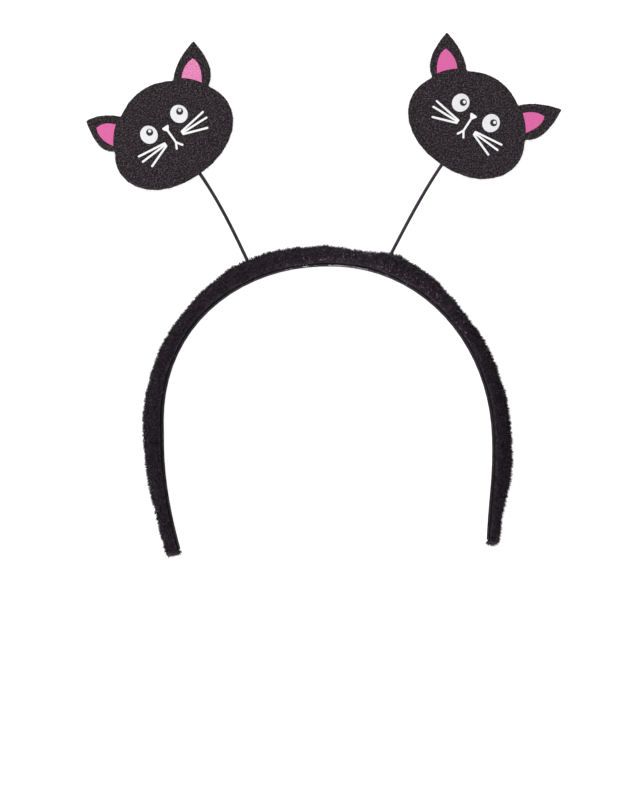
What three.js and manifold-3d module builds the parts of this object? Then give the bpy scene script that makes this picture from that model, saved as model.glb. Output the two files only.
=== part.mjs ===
// Head bopper: a padded plush headband that carries two felt cat heads on bent wires.
//
// The headband lies on its back edge, as it does on a table. +X is the viewer's right, +Y runs from the
// open ends to the heads, and +Z is the front, where the cat faces are. Millimetres and degrees. The
// model is worked out from the middle of the strip's inner face at the crown, and moved at the end so
// that the origin is the middle of the underside of the whole thing.

import * as THREE from 'three';
import { mergeVertices } from 'three/addons/utils/BufferGeometryUtils.js';
import Module from 'manifold-3d';

const wasm = await Module();
wasm.setup();

// Fits
const clearance = 0.3; // between pieces that touch

// The curve of the strip's inner face
const bandHalfWidth = 77.9; // at its widest level
const bandWidestDrop = 83.2; // from the crown down to the widest level
const bandTipDrop = 132.8; // from the crown down to the open ends
const crownFlat = 3; // straight stretch in the middle of the crown

// Plastic strip
const stripThickness = 2;
const stripWidth = 10.8;
const stripEdge = 0.5; // bevel along its edges

// Plush cover
const padThickness = 6.8; // over the strip's outer face
const edgeWrap = 1.3; // over each edge of the strip
const tipWrap = 1.8; // over each end of the strip
const lipDepth = 0.8; // how far the wrapped edges stop short of the strip's inner face, except at the tips
const tipRound = 2.4; // rounding of each covered end, along the band
const tipRoundDepth = 0.6; // and across it, as a share of tipRound
const outsideRound = 0.7; // outside corners, as a share of the depth past the wrapped edge and the half width

// Wires
const wireRadius = 0.81;
const wireLeg = 22; // bent along the strip under the plush
const wireBend = 3;
const wireInHead = 20; // held between the felt layers
const stemLength = 47.5; // from the plush to a head, in a straight line

// Heads
const feltThickness = 1.8; // of each of the two layers
const headHalfWidth = 29.8; // across the cheeks
const headRise = 23.5; // from the middle of the eyes up to the ear tips
const headDrop = 29; // from the middle of the eyes down to the chin

// Print on the heads
const printThickness = 0.15;
const printLine = 0.96; // width of the whiskers and of the mouth
const eyeHalfWidth = 4.03;
const eyeHalfHeight = 4.38;
const pupilRadius = 1.65;
const glintRadius = 0.75;

// The two sides of the band's curve differ a little. Lengths are shares: width of bandHalfWidth, widest
// of bandWidestDrop, the crown's pull and the tip's width of that side's own half width, the shoulder's
// pull of its own widest drop, and the side's and tip's of the stretch below it. tipLean is in degrees.
const sides = {
  left: {
    sign: -1,
    width: 0.99,
    widest: 0.877,
    crownPull: 0.503,
    shoulderPull: 0.653,
    sidePull: 0.14,
    tipPull: 0.581,
    tipWidth: 0.914,
    tipLean: 14.4,
  },
  right: {
    sign: 1,
    width: 0.992,
    widest: 1,
    crownPull: 0.566,
    shoulderPull: 0.57,
    sidePull: 0.4,
    tipPull: 0.47,
    tipWidth: 0.947,
    tipLean: 4,
  },
};

// Padding and strip along each side: how far along it, as a share of its length, with the padding on the
// left and right as shares of padThickness and the strip's width as a share of stripWidth.
const bandProfile = [
  { along: 0, left: 1.02, right: 1.02, strip: 1 },
  { along: 0.1, left: 1.03, right: 0.88, strip: 1 },
  { along: 0.17, left: 0.98, right: 0.99, strip: 1 },
  { along: 0.225, left: 1.04, right: 0.81, strip: 1 },
  { along: 0.3, left: 0.98, right: 1.01, strip: 1 },
  { along: 0.35, left: 0.91, right: 0.89, strip: 1 },
  { along: 0.4, left: 0.86, right: 0.82, strip: 1 },
  { along: 0.5, left: 0.88, right: 0.87, strip: 1 },
  { along: 0.65, left: 1.06, right: 0.93, strip: 1 },
  { along: 0.8, left: 0.91, right: 0.98, strip: 0.97 },
  { along: 0.9, left: 0.74, right: 0.72, strip: 0.9 },
  { along: 0.95, left: 0.68, right: 0.51, strip: 0.86 },
  { along: 1, left: 0.76, right: 0.46, strip: 0.82 },
];

// Each wire: where it leaves the plush, as a share of bandHalfWidth along the band from the crown, how
// far its leg lifts the plush, as a share of padThickness, and where, in leg lengths past the foot, its
// straight length as a share of stemLength, how it leans towards the right at the foot and over its
// length, and how far to the right of the chin's middle it enters the head, as a share of headHalfWidth.
const wires = {
  left: { foot: -0.416, lift: 0.21, liftAt: 0.1, stem: 0.978, footLean: -23.4, stemLean: -26.9, entry: 0.012 },
  right: { foot: 0.371, lift: 0.4, liftAt: 0.35, stem: 1.013, footLean: 29, stemLean: 31.3, entry: 0.01 },
};

// Each head: its lean towards the right, its felt's width as a share of headHalfWidth, how much shorter
// its left ear is, how far the print sits off the felt's middle, and each ear's pink off its place in the
// print, all three as shares of headHalfWidth, and the pink's size as a share of the usual one.
const heads = {
  left: {
    lean: -33.1,
    width: 1.021,
    earShorter: 0.144,
    print: { x: -0.01, y: -0.014 },
    pinks: { left: { x: -0.004, y: -0.009, size: 1.01 }, right: { x: 0.01, y: 0.004, size: 0.96 } },
  },
  right: {
    lean: 35.7,
    width: 0.993,
    earShorter: 0,
    print: { x: 0, y: 0.003 },
    pinks: { left: { x: -0.001, y: -0.023, size: 0.98 }, right: { x: -0.024, y: -0.026, size: 0.93 } },
  },
};

// Where the shorter ear draws in from and to, as shares of headHalfWidth along a line at earAngle
const earDrawnFrom = 0.62;
const earDrawnTo = 1.35;
const earAngle = 28.6; // above the level of the eyes

// Right half of a head's outline, from the chin round to the crown, a curve a row: its two bends and its
// end. Here and in the print, x is a share of the head's half width, and y of headRise above the eyes or
// of headDrop below them.
const headCurves = [
  { name: 'cheek', bend1: { x: 0.65, y: -1 }, bend2: { x: 1, y: -0.63 }, end: { x: 1, y: -0.284 } },
  { name: 'temple', bend1: { x: 1, y: -0.11 }, bend2: { x: 0.925, y: 0.01 }, end: { x: 0.886, y: 0.11 } },
  { name: 'ear side', bend1: { x: 1.1, y: 0.26 }, bend2: { x: 1.14, y: 0.59 }, end: { x: 1.1, y: 1.02 } },
  { name: 'ear top', bend1: { x: 0.93, y: 0.98 }, bend2: { x: 0.64, y: 0.84 }, end: { x: 0.49, y: 0.6 } },
  { name: 'crown', bend1: { x: 0.36, y: 0.71 }, bend2: { x: 0.19, y: 0.8 }, end: { x: 0, y: 0.8 } },
];

// Pink of the right ear: its three corners, and the bends of its three sides
const earPink = {
  low: { x: 0.858, y: 0.244 },
  outerBend: { x: 1.038, y: 0.556 },
  tip: { x: 0.964, y: 0.764 },
  topBend: { x: 0.768, y: 0.766 },
  inner: { x: 0.629, y: 0.56 },
  baseBend: { x: 0.764, y: 0.436 },
};

// Right eye, and the pupil and glint as shares of the eye's half width and height from its middle
const eyePlace = { x: 0.288, y: 0 };
const pupilShift = { x: 0.225, y: 0.18 };
const glintShift = { x: 0.31, y: 0.28 };

// Nose with the mouth line below it, and the whiskers on the right
const nose = {
  top: { x: -0.009, y: -0.037 },
  halfWidth: 0.058,
  shoulder: -0.068,
  neck: -0.122,
  mouth: { x: -0.006, y: -0.35 },
  leg: { x: 0.054, y: -0.442 },
};
const whiskers = {
  rootHigh: { x: 0.165, y: -0.258 },
  rootLow: { x: 0.165, y: -0.309 },
  ends: [
    { x: 0.614, y: -0.195 },
    { x: 0.61, y: -0.302 },
    { x: 0.53, y: -0.447 },
  ],
};

// How finely curves are cut into facets
const bandStepsPerSide = 28;
const wireSides = 8;
const wireSteps = 72;
const headSteps = 7;
const ovalSides = 24;
const strokeEndSides = 8;
const cornerSteps = 3;
const tidyLength = 0.01; // shorter steps along the outline of a joined piece of ink are taken out

const felt = new THREE.MeshStandardMaterial({ color: 0x3a363a, roughness: 1, metalness: 0 });
const plush = new THREE.MeshStandardMaterial({ color: 0x262226, roughness: 0.95, metalness: 0 });
const smoothPlastic = new THREE.MeshStandardMaterial({ color: 0x121012, roughness: 0.25, metalness: 0 });
const coatedWire = new THREE.MeshStandardMaterial({ color: 0x171517, roughness: 0.35, metalness: 0.2 });
const whiteInk = new THREE.MeshStandardMaterial({ color: 0xececee, roughness: 0.6, metalness: 0 });
const blackInk = new THREE.MeshStandardMaterial({ color: 0x151315, roughness: 0.6, metalness: 0 });
const pinkInk = new THREE.MeshStandardMaterial({ color: 0xda68a5, roughness: 0.6, metalness: 0 });

// Solids for cutting
function toSolid(geometry) {
  const bare = geometry.clone();
  bare.deleteAttribute('normal');
  bare.deleteAttribute('uv');
  const merged = mergeVertices(bare, 1e-4);
  const vertProperties = new Float32Array(merged.attributes.position.array);
  const triVerts = new Uint32Array(merged.index.array);
  return new wasm.Manifold(new wasm.Mesh({ numProp: 3, vertProperties, triVerts }));
}

function toGeometry(solid) {
  const mesh = solid.getMesh();
  const geometry = new THREE.BufferGeometry();
  geometry.setAttribute('position', new THREE.BufferAttribute(mesh.vertProperties, 3));
  geometry.setIndex(new THREE.BufferAttribute(mesh.triVerts, 1));
  geometry.computeVertexNormals();
  return geometry;
}

function cut(geometry, tools) {
  return toGeometry(tools.reduce((whole, tool) => whole.subtract(toSolid(tool)), toSolid(geometry)));
}

// The band's inner curve, measured along it from the crown, negative to the left
function sideLine(side) {
  const width = bandHalfWidth * side.width;
  const widestDrop = bandWidestDrop * side.widest;
  const below = bandTipDrop - widestDrop;
  const lean = THREE.MathUtils.degToRad(side.tipLean);
  const crownEnd = new THREE.Vector2(crownFlat / 2, 0);
  const widest = new THREE.Vector2(width, -widestDrop);
  const tip = new THREE.Vector2(width * side.tipWidth, -bandTipDrop);
  const upwards = new THREE.Vector2(Math.sin(lean), Math.cos(lean));
  const aboveTip = tip.clone().addScaledVector(upwards, below * side.tipPull);
  const line = new THREE.CurvePath();
  line.add(new THREE.LineCurve(new THREE.Vector2(0, 0), crownEnd));
  line.add(new THREE.CubicBezierCurve(
    crownEnd,
    new THREE.Vector2(width * side.crownPull, 0),
    new THREE.Vector2(width, -widestDrop * (1 - side.shoulderPull)),
    widest,
  ));
  line.add(new THREE.CubicBezierCurve(
    widest,
    new THREE.Vector2(width, -widestDrop - below * side.sidePull),
    aboveTip,
    tip,
  ));
  return line;
}

const bandLines = { left: sideLine(sides.left), right: sideLine(sides.right) };
const bandLengths = { left: bandLines.left.getLength(), right: bandLines.right.getLength() };

const sideOf = (distance) => (distance < 0 ? 'left' : 'right');

function bandPlace(distance) {
  const side = sideOf(distance);
  const share = Math.abs(distance) / bandLengths[side];
  const sign = sides[side].sign;
  const point = bandLines[side].getPoint(share);
  const tangent = bandLines[side].getTangent(share);
  return {
    point: new THREE.Vector3(sign * point.x, point.y, 0),
    outward: new THREE.Vector3(-sign * tangent.y, tangent.x, 0),
    rightward: new THREE.Vector3(tangent.x, sign * tangent.y, 0),
  };
}

function profileAt(distance, column) {
  const share = Math.abs(distance) / bandLengths[sideOf(distance)];
  const next = Math.max(1, bandProfile.findIndex((row) => row.along >= share - 1e-9));
  const from = bandProfile[next - 1];
  const to = bandProfile[next];
  const blend = THREE.MathUtils.smoothstep(share, from.along, to.along);
  return THREE.MathUtils.lerp(from[column], to[column], blend);
}

// The plush stands proud where a wire's leg lies under it
function legLift(distance) {
  let lift = 0;
  for (const wire of Object.values(wires)) {
    const offMiddle = (distance - wire.foot * bandHalfWidth) / wireLeg - wire.liftAt;
    if (Math.abs(offMiddle) < 1) lift += wire.lift * padThickness * Math.cos((offMiddle * Math.PI) / 2) ** 2;
  }
  return lift;
}

const stripWidthAt = (distance) => stripWidth * profileAt(distance, 'strip');
const coverDepthAt = (distance) =>
  stripThickness + padThickness * profileAt(distance, sideOf(distance)) + legLift(distance);

const bandWidth = stripWidth + 2 * (clearance + edgeWrap);
const middleZ = bandWidth / 2;

// Places along the band, from the left tip to the right, for a solid that stops short of both tips.
// All but the two ends are the same for every solid, so that the facets of nested ones line up.
function bandStations(shortOfTip) {
  const left = [];
  const right = [];
  for (let i = 0; i < bandStepsPerSide; i++) {
    const share = i / bandStepsPerSide;
    left.unshift(THREE.MathUtils.lerp(-crownFlat / 2, -bandLengths.left, share));
    right.push(THREE.MathUtils.lerp(crownFlat / 2, bandLengths.right, share));
  }
  return [shortOfTip - bandLengths.left, ...left, ...right, bandLengths.right - shortOfTip];
}

// A solid along the band. outlineAt gives its section at a distance, x outward and y up from the middle.
function alongBand(stations, outlineAt) {
  const positions = [];
  const faces = [];
  const outlines = stations.map(outlineAt);
  const count = outlines[0].length;
  stations.forEach((distance, ring) => {
    const { point, outward } = bandPlace(distance);
    for (const { x, y } of outlines[ring]) {
      positions.push(point.x + outward.x * x, point.y + outward.y * x, middleZ + y);
    }
    if (ring === 0) return;
    for (let i = 0; i < count; i++) {
      const here = ring * count + i;
      const beside = ring * count + ((i + 1) % count);
      faces.push(here - count, beside - count, beside, here - count, beside, here);
    }
  });
  const last = (stations.length - 1) * count;
  for (const [a, b, c] of THREE.ShapeUtils.triangulateShape(outlines[0], [])) faces.push(c, b, a);
  for (const [a, b, c] of THREE.ShapeUtils.triangulateShape(outlines.at(-1), [])) {
    faces.push(last + a, last + b, last + c);
  }
  const geometry = new THREE.BufferGeometry();
  geometry.setAttribute('position', new THREE.Float32BufferAttribute(positions, 3));
  geometry.setIndex(faces);
  geometry.computeVertexNormals();
  return geometry;
}

// Plastic strip: a flat strip with bevelled edges
function stripOutline(distance) {
  const half = stripWidthAt(distance) / 2;
  const outline = new THREE.Path();
  outline.moveTo(stripEdge, -half);
  outline.lineTo(stripThickness - stripEdge, -half);
  outline.lineTo(stripThickness, -half + stripEdge);
  outline.lineTo(stripThickness, half - stripEdge);
  outline.lineTo(stripThickness - stripEdge, half);
  outline.lineTo(stripEdge, half);
  outline.lineTo(0, half - stripEdge);
  outline.lineTo(0, -half + stripEdge);
  return outline.getPoints();
}

// The room that the strip takes in the cover, open on the inner side
function stripRoomOutline(distance) {
  const half = stripWidthAt(distance) / 2 + clearance;
  const low = -stripThickness;
  const high = stripThickness + clearance;
  return [[low, -half], [high, -half], [high, half], [low, half]].map(([x, y]) => new THREE.Vector2(x, y));
}

// Plush cover: flat along the front and back edges, full and round towards the outside
function roundedCorner(centreX, centreY, radiusX, radiusY, quarter) {
  const points = [];
  for (let i = 0; i <= cornerSteps; i++) {
    const angle = (quarter + i / cornerSteps) * (Math.PI / 2);
    points.push(new THREE.Vector2(centreX + radiusX * Math.cos(angle), centreY + radiusY * Math.sin(angle)));
  }
  return points;
}

function coverOutline(distance, inset) {
  const half = stripWidthAt(distance) / 2 + clearance + edgeWrap - inset;
  const depth = coverDepthAt(distance) - inset;
  const pastStrip = bandLengths[sideOf(distance)] - Math.abs(distance) < tipWrap;
  const lipMiddle = (pastStrip ? 0 : lipDepth) + edgeWrap;
  const roundDepth = outsideRound * (depth - lipMiddle);
  const roundHeight = outsideRound * half;
  return [
    ...roundedCorner(lipMiddle, edgeWrap - half, edgeWrap, edgeWrap, 2),
    ...roundedCorner(depth - roundDepth, roundHeight - half, roundDepth, roundHeight, 3),
    ...roundedCorner(depth - roundDepth, half - roundHeight, roundDepth, roundHeight, 0),
    ...roundedCorner(lipMiddle, half - edgeWrap, edgeWrap, edgeWrap, 1),
  ];
}

function coverBody() {
  const insets = new Map(bandStations(tipRound).map((distance) => [distance, 0]));
  const leftEnds = [];
  for (let i = 1; i <= cornerSteps; i++) {
    const angle = (i / cornerSteps) * (Math.PI / 2);
    const shortOfTip = tipRound * (1 - Math.sin(angle));
    const inset = tipRound * tipRoundDepth * (1 - Math.cos(angle));
    leftEnds.unshift([shortOfTip - bandLengths.left, inset]);
    insets.set(bandLengths.right - shortOfTip, inset);
  }
  const allInsets = new Map([...leftEnds, ...insets]);
  return alongBand([...allInsets.keys()], (distance) => coverOutline(distance, allInsets.get(distance)));
}

// Wires
const leaning = (degrees) => {
  const lean = THREE.MathUtils.degToRad(degrees);
  return new THREE.Vector3(Math.sin(lean), Math.cos(lean), 0);
};

function wirePlaces(side) {
  const wire = wires[side];
  const foot = wire.foot * bandHalfWidth;
  const { point, outward, rightward } = bandPlace(foot);
  const wayOut = leaning(wire.footLean);
  const legDepth = stripThickness + clearance + wireRadius;
  const surface = point.clone().addScaledVector(outward, coverDepthAt(foot));
  const cornerDepth = (coverDepthAt(foot) - legDepth) / wayOut.dot(outward);
  const entry = surface.clone().addScaledVector(leaning(wire.stemLean), stemLength * wire.stem);
  return {
    legDepth,
    wayOut,
    headUp: leaning(heads[side].lean),
    corner: surface.clone().addScaledVector(wayOut, -cornerDepth),
    cornerDistance: foot - cornerDepth * wayOut.dot(rightward),
    entry,
  };
}

// The wire's middle line: its leg, its bend, its free stretch and its end in the head
function wireLine(side, longer) {
  const { legDepth, wayOut, headUp, corner, cornerDistance, entry } = wirePlaces(side);
  const legPoints = [];
  const legSpans = 6;
  for (let i = 0; i <= legSpans; i++) {
    const distance = cornerDistance + THREE.MathUtils.lerp(wireLeg + longer, wireBend, i / legSpans);
    const { point, outward } = bandPlace(distance);
    legPoints.push(point.addScaledVector(outward, legDepth));
  }
  const bendEnd = corner.clone().addScaledVector(wayOut, wireBend);
  const pull = bendEnd.distanceTo(entry) / 3;
  const afterBend = bendEnd.clone().addScaledVector(wayOut, pull);
  const beforeEntry = entry.clone().addScaledVector(headUp, -pull);
  const wireEnd = entry.clone().addScaledVector(headUp, wireInHead + longer);
  const line = new THREE.CurvePath();
  line.add(new THREE.CatmullRomCurve3(legPoints));
  line.add(new THREE.QuadraticBezierCurve3(legPoints.at(-1), corner, bendEnd));
  line.add(new THREE.CubicBezierCurve3(bendEnd, afterBend, beforeEntry, entry));
  line.add(new THREE.LineCurve3(entry, wireEnd));
  return line;
}

function wireSolid(side, radius, longer) {
  const section = new THREE.Shape();
  section.absarc(0, 0, radius, 0, 2 * Math.PI, false);
  const settings = { extrudePath: wireLine(side, longer), steps: wireSteps, curveSegments: wireSides / 2 };
  return new THREE.ExtrudeGeometry(section, settings).translate(0, 0, middleZ);
}

// Heads, flat in their own frame: the origin is between the eyes, where the two felt layers meet
const mirrored = ({ x, y }) => ({ x: -x, y });
const unchanged = (share) => share;

function onHead(side, { x, y }) {
  return new THREE.Vector2(x * headHalfWidth * heads[side].width, y * (y > 0 ? headRise : headDrop));
}

function onPrint(side, { x, y }) {
  const { print } = heads[side];
  const height = y * (y > 0 ? headRise : headDrop);
  return new THREE.Vector2((x + print.x) * headHalfWidth, height + print.y * headHalfWidth);
}

// A point of a head, drawn in where it lies on the shorter ear, the more the nearer it is to the tip
function drawnIn(side, point) {
  const angle = THREE.MathUtils.degToRad(earAngle);
  const outwards = new THREE.Vector2(-Math.cos(angle), Math.sin(angle));
  const along = point.dot(outwards) / headHalfWidth;
  const share = Math.max(0, (along - earDrawnFrom) / (earDrawnTo - earDrawnFrom));
  const shorter = heads[side].earShorter * headHalfWidth * share * share;
  return point.y > 0 ? point.clone().addScaledVector(outwards, -shorter) : point;
}

function headShape(side) {
  const half = new THREE.Path();
  const chin = onHead(side, { x: 0, y: -1 });
  half.moveTo(chin.x, chin.y);
  for (const curve of headCurves) {
    const bend1 = onHead(side, curve.bend1);
    const bend2 = onHead(side, curve.bend2);
    const end = onHead(side, curve.end);
    half.bezierCurveTo(bend1.x, bend1.y, bend2.x, bend2.y, end.x, end.y);
  }
  const rightHalf = half.getPoints(headSteps);
  const leftHalf = rightHalf.slice(1, -1).reverse().map(({ x, y }) => new THREE.Vector2(-x, y));
  return new THREE.Shape([...rightHalf, ...leftHalf].map((point) => drawnIn(side, point)));
}

function slab(shape, thickness, height) {
  const settings = { depth: thickness, bevelEnabled: false, curveSegments: ovalSides / 2 };
  return new THREE.ExtrudeGeometry(shape, settings).translate(0, 0, height);
}

// One felt layer, with half of the groove that holds the wire's end
function feltLayer(side, height) {
  const grooveLength = wireInHead + 2 * clearance;
  const grooveRadius = wireRadius + clearance;
  const groove = new THREE.CylinderGeometry(grooveRadius, grooveRadius, grooveLength, wireSides);
  groove.translate(wires[side].entry * headHalfWidth, grooveLength / 2 - headDrop - clearance, 0);
  return cut(slab(headShape(side), feltThickness, height), [groove]);
}

// Print
const inkHeight = (layer) => feltThickness + layer * printThickness;

function oval(centre, halfWidth, halfHeight, layer) {
  const shape = new THREE.Shape();
  shape.absellipse(centre.x, centre.y, halfWidth, halfHeight, 0, 2 * Math.PI, false);
  return slab(shape, printThickness, inkHeight(layer));
}

// A line of ink with round ends
function stroke(from, to) {
  const radius = printLine / 2;
  const angle = Math.atan2(to.y - from.y, to.x - from.x);
  const shape = new THREE.Shape();
  shape.absarc(from.x, from.y, radius, angle + Math.PI / 2, angle + 1.5 * Math.PI, false);
  shape.absarc(to.x, to.y, radius, angle - Math.PI / 2, angle + Math.PI / 2, false);
  return shape;
}

// One piece of ink from flat shapes that overlap
function inked(shapes) {
  const outlines = shapes.map((shape) => shape.getPoints(strokeEndSides / 2).map(({ x, y }) => [x, y]));
  const whole = new wasm.CrossSection(outlines, 'NonZero').simplify(tidyLength);
  return toGeometry(whole.extrude(printThickness)).translate(0, 0, inkHeight(0));
}

function earPinkSolid(side, half, mirror) {
  const pink = heads[side].pinks[half];
  const shift = new THREE.Vector2(pink.x, pink.y).multiplyScalar(headHalfWidth);
  const middle = onPrint(side, mirror(earPink.baseBend));
  const placed = (point) => onPrint(side, mirror(point)).lerp(middle, 1 - pink.size).add(shift);
  const low = placed(earPink.low);
  const outerBend = placed(earPink.outerBend);
  const tip = placed(earPink.tip);
  const topBend = placed(earPink.topBend);
  const inner = placed(earPink.inner);
  const baseBend = placed(earPink.baseBend);
  const outline = new THREE.Path();
  outline.moveTo(low.x, low.y);
  outline.quadraticCurveTo(outerBend.x, outerBend.y, tip.x, tip.y);
  outline.quadraticCurveTo(topBend.x, topBend.y, inner.x, inner.y);
  outline.quadraticCurveTo(baseBend.x, baseBend.y, low.x, low.y);
  const shape = new THREE.Shape(outline.getPoints(headSteps).map((point) => drawnIn(side, point)));
  return slab(shape, printThickness, inkHeight(0));
}

function noseSolid(side) {
  const top = onPrint(side, nose.top);
  const shoulder = onPrint(side, { x: 0, y: nose.shoulder }).y;
  const neck = onPrint(side, { x: 0, y: nose.neck }).y;
  const halfWidth = nose.halfWidth * headHalfWidth;
  const halfLine = printLine / 2;
  const level = (top.y + shoulder) / 2;
  const tip = new THREE.Shape();
  tip.moveTo(top.x - halfWidth, level);
  tip.quadraticCurveTo(top.x - halfWidth, shoulder, top.x - halfLine, neck);
  tip.lineTo(top.x + halfLine, neck);
  tip.quadraticCurveTo(top.x + halfWidth, shoulder, top.x + halfWidth, level);
  tip.quadraticCurveTo(top.x + halfWidth, top.y, top.x + halfWidth / 2, top.y);
  tip.lineTo(top.x - halfWidth / 2, top.y);
  tip.quadraticCurveTo(top.x - halfWidth, top.y, top.x - halfWidth, level);
  const mouth = onPrint(side, nose.mouth);
  return inked([
    tip,
    stroke(new THREE.Vector2(top.x, neck), mouth),
    stroke(mouth, onPrint(side, nose.leg)),
    stroke(mouth, onPrint(side, mirrored(nose.leg))),
  ]);
}

function whiskerSolid(side, mirror) {
  const high = onPrint(side, mirror(whiskers.rootHigh));
  const low = onPrint(side, mirror(whiskers.rootLow));
  const roots = [high, high.clone().lerp(low, 0.5), low];
  const lines = whiskers.ends.map((end, i) => stroke(roots[i], onPrint(side, mirror(end))));
  return inked([stroke(high, low), ...lines]);
}

// Assembly
function piece(name, geometry, material) {
  const mesh = new THREE.Mesh(geometry, material);
  mesh.name = name;
  return mesh;
}

function head(side) {
  const { entry, headUp } = wirePlaces(side);
  const headRight = leaning(heads[side].lean + 90);
  const name = `${side}_head`;
  const group = new THREE.Group();
  group.position.copy(entry).addScaledVector(headRight, -wires[side].entry * headHalfWidth);
  group.position.addScaledVector(headUp, headDrop).setZ(middleZ);
  group.rotation.z = -THREE.MathUtils.degToRad(heads[side].lean);
  group.add(
    piece(`${name}_front`, feltLayer(side, 0), felt),
    piece(`${name}_back`, feltLayer(side, -feltThickness), felt),
    piece(`${name}_nose`, noseSolid(side), whiteInk),
  );
  for (const [half, mirror] of [['left', mirrored], ['right', unchanged]]) {
    const eye = onPrint(side, mirror(eyePlace));
    const fromEye = ({ x, y }) => eye.clone().add(new THREE.Vector2(x * eyeHalfWidth, y * eyeHalfHeight));
    group.add(
      piece(`${name}_ear_pink_${half}`, earPinkSolid(side, half, mirror), pinkInk),
      piece(`${name}_eye_${half}`, oval(eye, eyeHalfWidth, eyeHalfHeight, 0), whiteInk),
      piece(`${name}_pupil_${half}`, oval(fromEye(pupilShift), pupilRadius, pupilRadius, 1), blackInk),
      piece(`${name}_glint_${half}`, oval(fromEye(glintShift), glintRadius, glintRadius, 2), whiteInk),
      piece(`${name}_whiskers_${half}`, whiskerSolid(side, mirror), whiteInk),
    );
  }
  return group;
}

const bopper = new THREE.Group();
const strip = alongBand(bandStations(tipWrap + clearance), stripOutline);
const stripRoom = alongBand(bandStations(tipWrap), stripRoomOutline);
const wireRooms = Object.keys(wires).map((side) => wireSolid(side, wireRadius + clearance, clearance));
bopper.add(piece('band_core', strip, smoothPlastic));
bopper.add(piece('band_cover', cut(coverBody(), [stripRoom, ...wireRooms]), plush));
for (const side of Object.keys(wires)) {
  bopper.add(piece(`${side}_wire`, wireSolid(side, wireRadius, 0), coatedWire));
  bopper.add(head(side));
}

const extent = new THREE.Box3().setFromObject(bopper);
const middle = extent.getCenter(new THREE.Vector3());
bopper.position.set(-middle.x, -middle.y, -extent.min.z);

export default bopper;
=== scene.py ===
# A head bopper: a padded plush headband that carries two felt cat heads on bent wires
import math

import bmesh
import bpy
from mathutils import Matrix, Vector, noise
from mathutils.bvhtree import BVHTree


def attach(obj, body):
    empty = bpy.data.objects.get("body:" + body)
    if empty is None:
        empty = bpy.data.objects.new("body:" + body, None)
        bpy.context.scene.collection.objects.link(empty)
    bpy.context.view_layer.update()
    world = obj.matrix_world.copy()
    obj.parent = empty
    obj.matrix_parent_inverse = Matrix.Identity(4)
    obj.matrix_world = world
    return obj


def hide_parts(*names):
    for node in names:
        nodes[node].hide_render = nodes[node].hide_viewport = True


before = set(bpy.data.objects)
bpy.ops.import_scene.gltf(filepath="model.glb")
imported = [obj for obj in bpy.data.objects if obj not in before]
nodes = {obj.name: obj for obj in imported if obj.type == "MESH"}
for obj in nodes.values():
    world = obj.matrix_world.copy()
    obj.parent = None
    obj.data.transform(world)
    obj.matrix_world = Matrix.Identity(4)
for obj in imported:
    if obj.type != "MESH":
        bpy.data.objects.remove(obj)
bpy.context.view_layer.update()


# Inner strip
# The springy strip of black plastic that grips the head, moulded flat with eased edges and bent to shape.
# Its faces are matt and its eased edges polished, and only the inner face and a narrow line along each
# edge show.
strip_shade_patch = 0.012
polished_from = 0.5  # the eased edges are the faces that tilt between these, where 1 is level
polished_to = 0.95
strip_crease = math.radians(30)


def placed(shape, name):
    """A piece from a finished shape, riding with the whole thing."""
    mesh = bpy.data.meshes.new(name)
    shape.to_mesh(mesh)
    shape.free()
    return settled(mesh, name)


def settled(mesh, name):
    """A piece from a finished mesh, riding with the whole thing."""
    piece = bpy.data.objects.new(name, mesh)
    bpy.context.scene.collection.objects.link(piece)
    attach(piece, "root")
    return piece


def solid_shape(node):
    """The shape of a solid of the frame, with its loose triangles merged."""
    shape = bmesh.new()
    shape.from_mesh(nodes[node].data)
    bmesh.ops.remove_doubles(shape, verts=shape.verts, dist=1e-6)
    return shape


def plain_finish(name, **sockets):
    """A material of one look all over. Sockets are named with an underscore for each space."""
    material = bpy.data.materials.new(name)
    material.use_nodes = True
    shader = material.node_tree.nodes["Principled BSDF"]
    for socket, value in sockets.items():
        shader.inputs[socket.replace("_", " ")].default_value = value
    return material


def patches(material, size, detail=2.0):
    """A noise whose patches are about that size across, in metres, mostly between 0.3 and 0.7."""
    tree = material.node_tree
    place = tree.nodes.new("ShaderNodeTexCoord")
    cloud = tree.nodes.new("ShaderNodeTexNoise")
    cloud.inputs["Scale"].default_value = 1 / size
    cloud.inputs["Detail"].default_value = detail
    tree.links.new(place.outputs["Object"], cloud.inputs["Vector"])
    return cloud.outputs["Fac"]


def ramp(material, source, stops):
    """The source's values turned into colours by two or more stops, each a value and a colour."""
    tree = material.node_tree
    band = tree.nodes.new("ShaderNodeValToRGB")
    tree.links.new(source, band.inputs["Fac"])
    steps = band.color_ramp.elements
    for step, (value, colour) in zip(steps, stops):
        step.position = value
        step.color = (*colour, 1)
    for value, colour in stops[2:]:
        step = steps.new(value)
        step.color = (*colour, 1)
    return band.outputs["Color"]


def onto(material, source, socket):
    """Lets the source decide what the material's shader has in that socket."""
    shader = material.node_tree.nodes["Principled BSDF"]
    material.node_tree.links.new(source, shader.inputs[socket])


def raised(material, source, height):
    """Relief of that height, in metres, where the source is high."""
    tree = material.node_tree
    relief = tree.nodes.new("ShaderNodeBump")
    relief.inputs["Distance"].default_value = height
    tree.links.new(source, relief.inputs["Height"])
    onto(material, relief.outputs["Normal"], "Normal")


def moulded(name, shine, shade, smooth, dull, relief, wave):
    """Dark plastic, from smooth to dull in patches, with soft waves of that height and length."""
    material = plain_finish(name, Specular_IOR_Level=shine)
    onto(material, ramp(material, patches(material, strip_shade_patch), [
        (0.35, (0.5 * shade, 0.4 * shade, 0.5 * shade)),
        (0.7, (shade, 0.8 * shade, shade)),
    ]), "Base Color")
    onto(material, ramp(material, patches(material, wave), [
        (0.46, (smooth, smooth, smooth)),
        (0.53, (dull, dull, dull)),
    ]), "Roughness")
    raised(material, patches(material, wave), relief)
    return material


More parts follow.
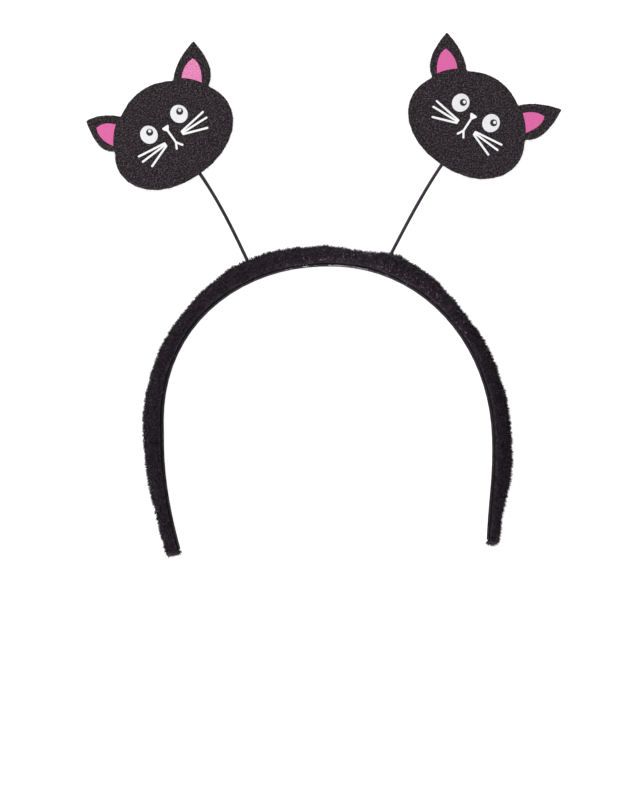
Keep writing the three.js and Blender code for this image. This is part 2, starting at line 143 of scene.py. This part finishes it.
matt_strip = moulded(
    "matt_strip", shine=0, shade=0.015, smooth=0.7, dull=0.9, relief=0.00003, wave=0.0025,
)
polished_edge = moulded(
    "polished_edge", shine=0.28, shade=0.006, smooth=0.08, dull=0.9, relief=0.00007, wave=0.003,
)
strip = placed(solid_shape("band_core"), "inner_strip")
strip.data.materials.append(matt_strip)
strip.data.materials.append(polished_edge)
for face in strip.data.polygons:
    face.material_index = 1 if polished_from < abs(face.normal.z) < polished_to else 0
strip.data.shade_smooth()
strip.data.set_sharp_from_angle(angle=strip_crease)
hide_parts("band_core")


# Padded plush cover
# Black plush with a short dense pile, wrapped over foam padding on the strip's outer face, round both
# edges and over both tips, and glued down inside. The pile lies in soft clumps, a little matted. Its pale
# fibres and lighter clumps are partly random tone and partly painted sheen, and its colour is made lighter
# on one side of the crown and darker further away, as painted light and shade.
skin_inset = 0.0005  # the pile makes up the rest of the thickness
held_within = 0.0004  # this near the strip or a wire the skin stays in its place
free_beyond = 0.0014  # and this far from them it moves in by the whole inset
skin_voxel = 0.0006
skin_smoothings = 4
skin_waves = [(0.009, 0.0006), (0.0035, 0.0003)]  # each a size and a height
pile_length = 0.0011
pile_radius = 0.00009
pile_density = 5.4e6  # fibres per square metre
pile_lean = 0.8  # as a share of standing upright, as is every lean
tuft_length = 0.0018
tuft_radius = 1.3 * pile_radius
tuft_fibres = 5
tuft_spread = 0.3
tuft_density = 1.1e6
tuft_lean = 0.5
plush_comb = 0.0028  # fibres lean together over about this length
bare_seam = 0.0011  # no pile grows this near the strip or a wire
resting_height = 0.00005  # fibres are pressed flat at this height, where the whole thing lies on them
painted_light_crown = (0.005, -0.045, 0.014)  # painted light: the pile's colour is lighter on the side of the crown that faces this place, and darker further off, for how the light falls on it
painted_light_within = 0.056  # painted light: within this distance of it the colour is made lighter by the first factor below
painted_shade_beyond = 0.069  # painted shade: beyond this distance it is made darker by the second factor below
painted_light_times = 2.0
painted_shade_times = 0.6


def remeshed(piece, voxel, smoothings):
    """Gives the piece even small faces in place of its long ones, and wears its sharp edges round."""
    grid = piece.modifiers.new("grid", "REMESH")
    grid.mode = "VOXEL"
    grid.voxel_size = voxel
    worn = piece.modifiers.new("worn", "SMOOTH")
    worn.factor = 0.5
    worn.iterations = smoothings
    kept = bpy.data.meshes.new_from_object(piece.evaluated_get(bpy.context.evaluated_depsgraph_get()))
    piece.modifiers.clear()
    piece.data = kept


def uneven(piece, waves, inset, held=()):
    """Moves the surface in by the inset and in and out by the waves, but not against the held solids."""
    holders = [BVHTree.FromBMesh(solid_shape(node)) for node in held]
    shape = bmesh.new()
    shape.from_mesh(piece.data)
    shape.normal_update()
    for vert in shape.verts:
        gap = min((tree.find_nearest(vert.co)[3] for tree in holders), default=free_beyond)
        free = min(max((gap - held_within) / (free_beyond - held_within), 0), 1)
        height = sum(high * noise.noise(vert.co / size) for size, high in waves)
        vert.co += vert.normal * (height - inset) * free
    shape.to_mesh(piece.data)
    shape.free()
    piece.data.shade_smooth()


def fibre_shape(name, length, radius, material, count=1, spread=0.0):
    """Tapered fibres that stand together on the origin, splayed by that spread, each a little different."""
    extra_turn = 0.4
    least_splay = 0.4
    shorter_by = 0.12
    shape = bmesh.new()
    for number in range(count):
        turn = Matrix.Rotation(math.tau * number / count + extra_turn * number, 4, "Z")
        splay = least_splay + (1 - least_splay) * (number % 3) / 2
        tall = length * (1 - shorter_by * (number % 4))
        place = turn @ Matrix.Rotation(spread * splay, 4, "X") @ Matrix.Translation((0, 0, tall / 2))
        bmesh.ops.create_cone(
            shape, cap_ends=True, segments=3, radius1=radius, radius2=0, depth=tall, matrix=place,
        )
    mesh = bpy.data.meshes.new(name)
    shape.to_mesh(mesh)
    shape.free()
    mesh.materials.append(material)
    mesh.shade_smooth()
    return bpy.data.objects.new(name, mesh)


def grown(skin, name, fibre, density, lean, comb, seed, clear_of, clear_by, keep=None):
    """
    Copies of a fibre all over a skin, clear of the named solids. They lean together over the length of
    the comb, and each strays from that a little. Keep is how the left or right half compares with zero.
    """
    comb_strength = 4 * lean  # the noise stays near its middle
    stray = 0.45 * lean
    shortest = 0.5
    longest = 1.2
    tree = bpy.data.node_groups.new(name, "GeometryNodeTree")
    tree.interface.new_socket("Geometry", in_out="INPUT", socket_type="NodeSocketGeometry")
    tree.interface.new_socket("Geometry", in_out="OUTPUT", socket_type="NodeSocketGeometry")
    new = tree.nodes.new
    link = tree.links.new
    begin = new("NodeGroupInput")
    end = new("NodeGroupOutput")

    roots = new("GeometryNodeDistributePointsOnFaces")
    roots.inputs["Density"].default_value = density
    roots.inputs["Seed"].default_value = seed
    link(begin.outputs[0], roots.inputs["Mesh"])

    neighbours = new("GeometryNodeJoinGeometry")
    for other in clear_of:
        source = new("GeometryNodeObjectInfo")
        source.inputs["Object"].default_value = nodes[other]
        link(source.outputs["Geometry"], neighbours.inputs[0])
    gap = new("GeometryNodeProximity")
    link(neighbours.outputs[0], gap.inputs[0])
    room = new("FunctionNodeCompare")
    room.operation = "GREATER_THAN"
    room.inputs["B"].default_value = clear_by
    link(gap.outputs["Distance"], room.inputs["A"])
    allowed = room.outputs[0]
    if keep:
        place = new("GeometryNodeInputPosition")
        split = new("ShaderNodeSeparateXYZ")
        link(place.outputs[0], split.inputs[0])
        half = new("FunctionNodeCompare")
        half.operation = keep
        link(split.outputs["X"], half.inputs["A"])
        both = new("FunctionNodeBooleanMath")
        link(allowed, both.inputs[0])
        link(half.outputs[0], both.inputs[1])
        allowed = both.outputs[0]
    link(allowed, roots.inputs["Selection"])

    cloud = new("ShaderNodeTexNoise")
    cloud.inputs["Scale"].default_value = 1 / comb
    cloud.inputs["Detail"].default_value = 1.5
    centred = new("ShaderNodeVectorMath")
    centred.operation = "SUBTRACT"
    centred.inputs[1].default_value = (0.5, 0.5, 0.5)
    link(cloud.outputs["Color"], centred.inputs[0])
    combed = new("ShaderNodeVectorMath")
    combed.operation = "SCALE"
    combed.inputs["Scale"].default_value = comb_strength
    link(centred.outputs[0], combed.inputs[0])
    strayed = new("FunctionNodeRandomValue")
    strayed.data_type = "FLOAT_VECTOR"
    strayed.inputs[0].default_value = (-stray, -stray, -stray)
    strayed.inputs[1].default_value = (stray, stray, stray)
    strayed.inputs["Seed"].default_value = seed + 1
    bent = new("ShaderNodeVectorMath")
    link(combed.outputs[0], bent.inputs[0])
    link(strayed.outputs[0], bent.inputs[1])
    heading = new("ShaderNodeVectorMath")
    link(bent.outputs[0], heading.inputs[0])
    link(roots.outputs["Normal"], heading.inputs[1])
    aim = new("FunctionNodeAlignRotationToVector")
    aim.axis = "Z"
    link(heading.outputs[0], aim.inputs["Vector"])

    size = new("FunctionNodeRandomValue")
    size.inputs[2].default_value = shortest
    size.inputs[3].default_value = longest
    size.inputs["Seed"].default_value = seed + 2
    planted = new("GeometryNodeInstanceOnPoints")
    source = new("GeometryNodeObjectInfo")
    source.inputs["Object"].default_value = fibre
    link(roots.outputs["Points"], planted.inputs["Points"])
    link(source.outputs["Geometry"], planted.inputs["Instance"])
    link(aim.outputs[0], planted.inputs["Rotation"])
    link(size.outputs[1], planted.inputs["Scale"])

    tint = new("FunctionNodeRandomValue")
    tint.inputs["Seed"].default_value = seed + 3
    tinted = new("GeometryNodeStoreNamedAttribute")
    tinted.domain = "INSTANCE"
    tinted.inputs["Name"].default_value = "tint"
    link(planted.outputs[0], tinted.inputs["Geometry"])
    link(tint.outputs[1], tinted.inputs["Value"])
    real = new("GeometryNodeRealizeInstances")
    link(tinted.outputs[0], real.inputs[0])
    link(real.outputs[0], end.inputs[0])

    grower = skin.modifiers.new("fibres", "NODES")
    grower.node_group = tree
    mesh = bpy.data.meshes.new_from_object(skin.evaluated_get(bpy.context.evaluated_depsgraph_get()))
    skin.modifiers.remove(grower)
    for vert in mesh.vertices:
        vert.co.z = max(vert.co.z, resting_height)
    mesh.name = name
    return settled(mesh, name)


def product(tree, first, second):
    times = tree.nodes.new("ShaderNodeMath")
    times.operation = "MULTIPLY"
    tree.links.new(first, times.inputs[0])
    tree.links.new(second, times.inputs[1])
    return times.outputs[0]


def ranged(tree, source, low, high, at_low, at_high):
    """The source turned into at_low where it is low or less, and at_high where it is high or more."""
    scale = tree.nodes.new("ShaderNodeMapRange")
    scale.inputs["From Min"].default_value = low
    scale.inputs["From Max"].default_value = high
    scale.inputs["To Min"].default_value = at_low
    scale.inputs["To Max"].default_value = at_high
    tree.links.new(source, scale.inputs["Value"])
    return scale.outputs["Result"]


def fibre_finish(name, dark, middle, light, clump, painted_light_at=None, **sockets):
    """Each fibre has its own shade. Lighter ones lie in clumps of that size, and, given a place, the colour
    is made lighter towards it and darker away from it, as painted light and shade.
    """
    middle_value = 0.45
    between_clumps = 0.25
    material = plain_finish(name, **sockets)
    tree = material.node_tree
    own = tree.nodes.new("ShaderNodeAttribute")
    own.attribute_name = "tint"
    shared = ranged(tree, patches(material, clump, 3), 0.38, 0.66, between_clumps, 1)
    shade = product(tree, own.outputs["Fac"], shared)
    # painted light and shade: near the given place the shade is made lighter, far from it darker
    if painted_light_at:
        place = tree.nodes.new("ShaderNodeTexCoord")
        away = tree.nodes.new("ShaderNodeVectorMath")
        away.operation = "DISTANCE"
        away.inputs[1].default_value = painted_light_at
        tree.links.new(place.outputs["Object"], away.inputs[0])
        painted_light_gain = ranged(tree, away.outputs["Value"], painted_light_within, painted_shade_beyond, painted_light_times, painted_shade_times)
        shade = product(tree, shade, painted_light_gain)
    stops = [(0.0, dark), (middle_value, middle), (1.0, light)]
    onto(material, ramp(material, shade, stops), "Base Color")
    return material


plush_skin = plain_finish("plush_skin", Roughness=0.95, Specular_IOR_Level=0.1)
onto(plush_skin, ramp(plush_skin, patches(plush_skin, 0.0012, 3), [
    (0.35, (0.009, 0.0065, 0.009)),
    (0.65, (0.028, 0.021, 0.028)),
]), "Base Color")
raised(plush_skin, patches(plush_skin, 0.0006, 3), 0.0004)
# painted sheen: the pale fibres at the light end of these ramps stand partly for the pile's sheen and
# partly for its own random tone
pile_black = fibre_finish(
    "pile_black", dark=(0.01, 0.0075, 0.01), middle=(0.054, 0.042, 0.054), light=(0.25, 0.208, 0.25),
    clump=0.0032, painted_light_at=painted_light_crown, Roughness=0.75, Specular_IOR_Level=0.12,
)
tuft_black = fibre_finish(
    "tuft_black", dark=(0.012, 0.009, 0.012), middle=(0.065, 0.051, 0.065), light=(0.3, 0.25, 0.3),
    clump=0.0026, painted_light_at=painted_light_crown, Roughness=0.75, Specular_IOR_Level=0.12,
)

cover = placed(solid_shape("band_cover"), "plush_cover")
beside_cover = ["band_core", "left_wire", "right_wire"]
remeshed(cover, skin_voxel, skin_smoothings)
uneven(cover, skin_waves, skin_inset, held=beside_cover)
cover.data.materials.clear()
cover.data.materials.append(plush_skin)
pile_fibre = fibre_shape("pile_fibre", pile_length, pile_radius, pile_black)
pile_tuft = fibre_shape("pile_clump", tuft_length, tuft_radius, tuft_black, tuft_fibres, tuft_spread)
coats = [
    ("left_plush_pile", pile_fibre, pile_density, pile_lean, 11, "LESS_THAN"),
    ("right_plush_pile", pile_fibre, pile_density, pile_lean, 12, "GREATER_THAN"),
    ("plush_tufts", pile_tuft, tuft_density, tuft_lean, 13, None),
]
for name, fibre, density, lean, seed, half in coats:
    pile = grown(
        cover, name, fibre, density, lean, plush_comb, seed, beside_cover, bare_seam, keep=half,
    )
    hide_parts("band_cover")
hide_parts("band_cover")


# Wires
# Spring wire with a smooth black coating. Each is bent once under the plush, leans outwards in a slight
# curve and ends between the two felt layers of its head.
wire_radius = 0.00081
kept_by_rounding = 2 / 3 + math.cos(math.tau / 8) / 3  # of the radius of a tube with eight sides
facet_angle = math.radians(40)

wire_coat = plain_finish("wire_coat", Specular_IOR_Level=0.12)
onto(wire_coat, ramp(wire_coat, patches(wire_coat, 0.003), [
    (0.35, (0.02, 0.015, 0.021)),
    (0.7, (0.034, 0.026, 0.035)),
]), "Base Color")
onto(wire_coat, ramp(wire_coat, patches(wire_coat, 0.0015, 3), [
    (0.3, (0.38, 0.38, 0.38)),
    (0.75, (0.5, 0.5, 0.5)),
]), "Roughness")
raised(wire_coat, patches(wire_coat, 0.0012), 0.00002)

for side in ("left", "right"):
    shape = solid_shape(f"{side}_wire")
    bmesh.ops.join_triangles(
        shape, faces=shape.faces, angle_face_threshold=facet_angle, angle_shape_threshold=facet_angle,
    )
    shape.normal_update()
    for vert in shape.verts:
        vert.co += vert.normal * wire_radius * (1 / kept_by_rounding - 1)
    wire = placed(shape, f"{side}_coated_wire")
    wire.data.materials.append(wire_coat)
    wire.data.shade_smooth()
    rounded = wire.modifiers.new("rounded", "SUBSURF")
    rounded.levels = 2
    rounded.render_levels = 2
    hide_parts(f"{side}_wire")


# Cat heads
# Each head is two layers of charcoal felt, die-cut ears and all and glued face to face round the wire's
# end. The felt is pressed wool-like fibre: matt, speckled, and a little ragged along its cut edge.
felt_voxel = 0.00045
felt_smoothings = 2
felt_waves = [(0.004, 0.00012), (0.0012, 0.0001)]
felt_inset = 0.00003
lint_length = 0.0011
lint_radius = 0.000022
lint_density = 3.2e6
lint_lean = 3.0
lint_comb = 0.0015
lint_seed = 31
lint_clear = 0.0006  # no lint grows this near the print or the wire

felt_grey = plain_finish("felt_grey", Roughness=0.95, Specular_IOR_Level=0.12)
onto(felt_grey, ramp(felt_grey, patches(felt_grey, 0.00068, 5), [
    (0.38, (0.006, 0.0045, 0.0055)),
    (0.53, (0.024, 0.019, 0.0217)),
    (0.68, (0.082, 0.067, 0.075)),
]), "Base Color")
raised(felt_grey, patches(felt_grey, 0.0007, 5), 0.0003)
lint_grey = fibre_finish(
    "lint_grey", dark=(0.006, 0.0045, 0.0055), middle=(0.027, 0.0215, 0.0245), light=(0.165, 0.14, 0.15),
    clump=0.0017, Roughness=0.85, Specular_IOR_Level=0.15,
)

lint_fibre = fibre_shape("lint_fibre", lint_length, lint_radius, lint_grey)
ink_parts = ["nose"]
for half in ("left", "right"):
    ink_parts += [f"{kind}_{half}" for kind in ("ear_pink", "eye", "pupil", "glint", "whiskers")]
for number, side in enumerate(("left", "right")):
    beside_felt = [f"{side}_head_{part}" for part in ink_parts] + [f"{side}_wire"]
    for layer in ("front", "back"):
        felt = placed(solid_shape(f"{side}_head_{layer}"), f"{side}_felt_{layer}")
        remeshed(felt, felt_voxel, felt_smoothings)
        uneven(felt, felt_waves, felt_inset)
        felt.data.materials.clear()
        felt.data.materials.append(felt_grey)
        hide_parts(f"{side}_head_{layer}")
        lint = grown(
            felt, f"{side}_felt_lint_{layer}", lint_fibre, lint_density, lint_lean, lint_comb,
            lint_seed + number, beside_felt, lint_clear,
        )
        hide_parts(f"{side}_head_{layer}")


# Print
# Screen print on the front of the felt: pink inner ears, white eyes, nose, mouth and whiskers, and black
# pupils with a white glint. The ink lies in a thin even coat that shows some of the felt's grain.
def ink(name, full, worn, worn_share=0.0):
    """An ink that is worn in small specks, over more of it the larger the share."""
    material = plain_finish(name, Roughness=0.62, Specular_IOR_Level=0.3)
    onto(material, ramp(material, patches(material, 0.0006, 4), [
        (0.32 + 0.3 * worn_share, worn),
        (0.5 + 0.3 * worn_share, full),
    ]), "Base Color")
    raised(material, patches(material, 0.0007, 4), 0.00012)
    return material


white_ink = ink("white_ink", (0.65, 0.65, 0.67), (0.53, 0.53, 0.55))
line_ink = ink("line_ink", (0.735, 0.735, 0.745), (0.62, 0.62, 0.63))
black_ink = ink("black_ink", (0.008, 0.006, 0.008), (0.02, 0.016, 0.02))
pink_ink = ink("pink_ink", (0.55, 0.095, 0.283), (0.44, 0.076, 0.23))
pale_pink_ink = ink("pale_pink_ink", (0.555, 0.128, 0.312), (0.67, 0.29, 0.46), 0.05)
inks = {
    "nose": line_ink,
    "ear_pink": pink_ink,
    "eye": white_ink,
    "pupil": black_ink,
    "glint": white_ink,
    "whiskers": line_ink,
}
for side in ("left", "right"):
    for part in ink_parts:
        kind = part.removesuffix("_left").removesuffix("_right")
        nodes[f"{side}_head_{part}"].material_slots[0].material = inks[kind]
nodes["left_head_ear_pink_right"].material_slots[0].material = pale_pink_ink


# Studio
# A plain white floor under soft light from all round, a large soft lamp up beyond the heads, and a low
# lamp at the open end, in which the strip's polished edge glints at the crown. The camera looks straight
# down at the headband lying on its back edge.
floor_shape = bmesh.new()
bmesh.ops.create_grid(floor_shape, x_segments=1, y_segments=1, size=1.5)
floor_mesh = bpy.data.meshes.new("floor")
floor_shape.to_mesh(floor_mesh)
floor_shape.free()
floor = bpy.data.objects.new("floor", floor_mesh)
bpy.context.scene.collection.objects.link(floor)
floor_white = plain_finish(
    "floor_white", Base_Color=(0.25, 0.25, 0.25, 1), Emission_Color=(1, 1, 1, 1), Emission_Strength=0.92,
)
floor.data.materials.append(floor_white)

world = bpy.data.worlds.new("studio")
world.use_nodes = True
world.node_tree.nodes["Background"].inputs["Color"].default_value = (1, 1, 1, 1)
world.node_tree.nodes["Background"].inputs["Strength"].default_value = 0.5
bpy.context.scene.world = world
bpy.context.scene.view_settings.view_transform = "Standard"

lamps = [
    ("soft_lamp", (-0.9, 1.1, 1.7), 1.2, 1.2, 51),
    ("low_lamp", (-0.07, -1.5, 0.11), 0.66, 0.12, 45),
]
for name, place, width, height, watts in lamps:
    light = bpy.data.lights.new(name, "AREA")
    light.shape = "RECTANGLE"
    light.size = width
    light.size_y = height
    light.energy = watts
    lamp = bpy.data.objects.new(name, light)
    lamp.location = place
    lamp.rotation_euler = (-lamp.location).to_track_quat("-Z", "Y").to_euler()
    bpy.context.scene.collection.objects.link(lamp)

view_middle = Vector((-0.00462, -0.04986, 0.007))
view_distance = 1.6
view_height = 0.376  # what the picture shows from top to bottom
view_roll = math.radians(-1.7)
camera_lens = bpy.data.cameras.new("camera")
camera_lens.sensor_width = 36
camera_lens.lens = camera_lens.sensor_width * view_distance / view_height
camera = bpy.data.objects.new("camera", camera_lens)
camera_place = Matrix.Translation(view_middle + Vector((0, 0, view_distance)))
camera.matrix_world = camera_place @ Matrix.Rotation(view_roll, 4, "Z")
bpy.context.scene.collection.objects.link(camera)
bpy.context.scene.camera = camera
